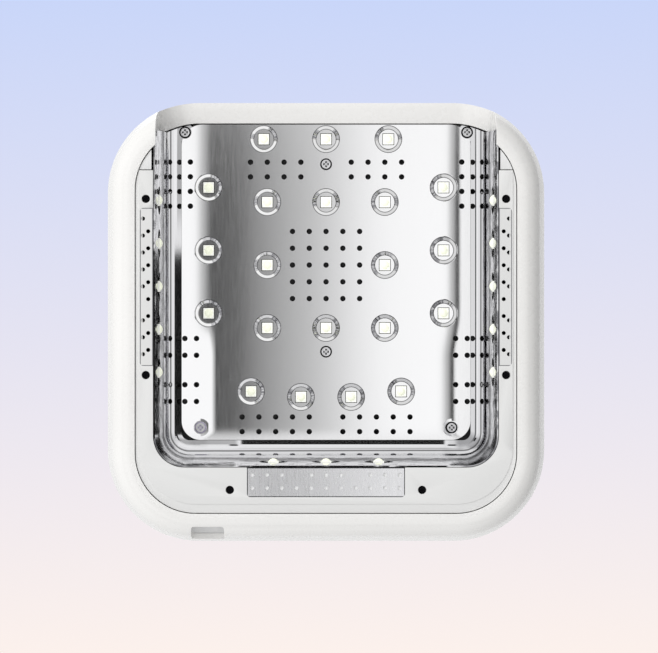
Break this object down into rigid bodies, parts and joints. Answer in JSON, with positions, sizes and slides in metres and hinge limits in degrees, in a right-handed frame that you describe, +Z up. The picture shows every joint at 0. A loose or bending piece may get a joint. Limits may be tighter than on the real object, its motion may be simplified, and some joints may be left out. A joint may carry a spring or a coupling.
{
  "type": "nail lamp",
  "caption": "Rounded-square lamp for curing nail gel, with a mirror-lined hand cavity, LEDs in its ceiling and walls, timer buttons on top and a plug inlet at the back.",
  "frame": {"origin": "middle of the footprint, on the table under the housing's rim", "axes": "+Z up, -Y towards the user and the hand opening, +X to the right of the hand opening as seen from beneath with the front at the top"},
  "size_m": [0.207, 0.208, 0.092],
  "materials": {
    "white_abs": "satin gloss",
    "pale_abs": "fine satin",
    "frame_abs": "satin",
    "mirror_sheet": "mirror polished",
    "plate_steel": "bright",
    "led_body": "matt",
    "led_resin": "clear resin over phosphor",
    "board_black": "black solder mask on aluminium",
    "board_green": "green solder mask",
    "screw_steel": "bright zinc",
    "screw_black": "black oxide",
    "black_plastic": "satin",
    "copper_coil": "enamelled wire",
    "smoked_window": "smoked, high gloss",
    "panel_grey": "gloss",
    "button_white": "satin",
    "contact_metal": "plated",
    "lead_cover": "red insulation"
  },
  "bodies": {
    "lamp": {"outer_shell": "white_abs", "base_ring": "pale_abs", "inner_frame": "frame_abs", "ceiling_reflector": "mirror_sheet", "wall_reflector": "mirror_sheet", "vent_plate_left": "pale_abs", "vent_plate_right": "pale_abs", "rear_vent_plate": "plate_steel", "ceiling_led_board": "board_black", "ceiling_leds": "led_body", "ceiling_led_lenses": "led_resin", "wall_led_board_left": "board_black", "wall_led_board_right": "board_black", "wall_led_board_rear": "board_black", "wall_leds": "led_body", "wall_led_lenses": "led_resin", "reflector_screws": "screw_steel", "ring_screws": "screw_black", "frame_screws": "screw_steel", "control_board": "board_green", "control_board_screws": "screw_steel", "power_coil": "copper_coil", "capacitors": "black_plastic", "panel_board": "board_green", "panel_board_screws": "screw_steel", "tact_switches": "black_plastic", "display_module": "black_plastic", "control_panel": "panel_grey", "display_window": "smoked_window", "inlet_housing": "frame_abs", "dc_jack": "black_plastic", "dc_jack_pin": "contact_metal", "jack_leads": "lead_cover"},
    "timer_10s": {"button_10s": "button_white"},
    "timer_30s": {"button_30s": "button_white"},
    "timer_60s": {"button_60s": "button_white"},
    "timer_99s": {"button_99s": "button_white"}
  },
  "joints": [
    {"name": "press_10s", "type": "slide", "parent": "lamp", "child": "timer_10s", "axis": [0, 0, -1], "range_m": [0, 0.0005], "stiffness_N_per_m": 1500, "springref_m": -0.0002},
    {"name": "press_30s", "type": "slide", "parent": "lamp", "child": "timer_30s", "axis": [0, 0, -1], "range_m": [0, 0.0005], "stiffness_N_per_m": 1500, "springref_m": -0.0002},
    {"name": "press_60s", "type": "slide", "parent": "lamp", "child": "timer_60s", "axis": [0, 0, -1], "range_m": [0, 0.0005], "stiffness_N_per_m": 1500, "springref_m": -0.0002},
    {"name": "press_99s", "type": "slide", "parent": "lamp", "child": "timer_99s", "axis": [0, 0, -1], "range_m": [0, 0.0005], "stiffness_N_per_m": 1500, "springref_m": -0.0002}
  ]
}
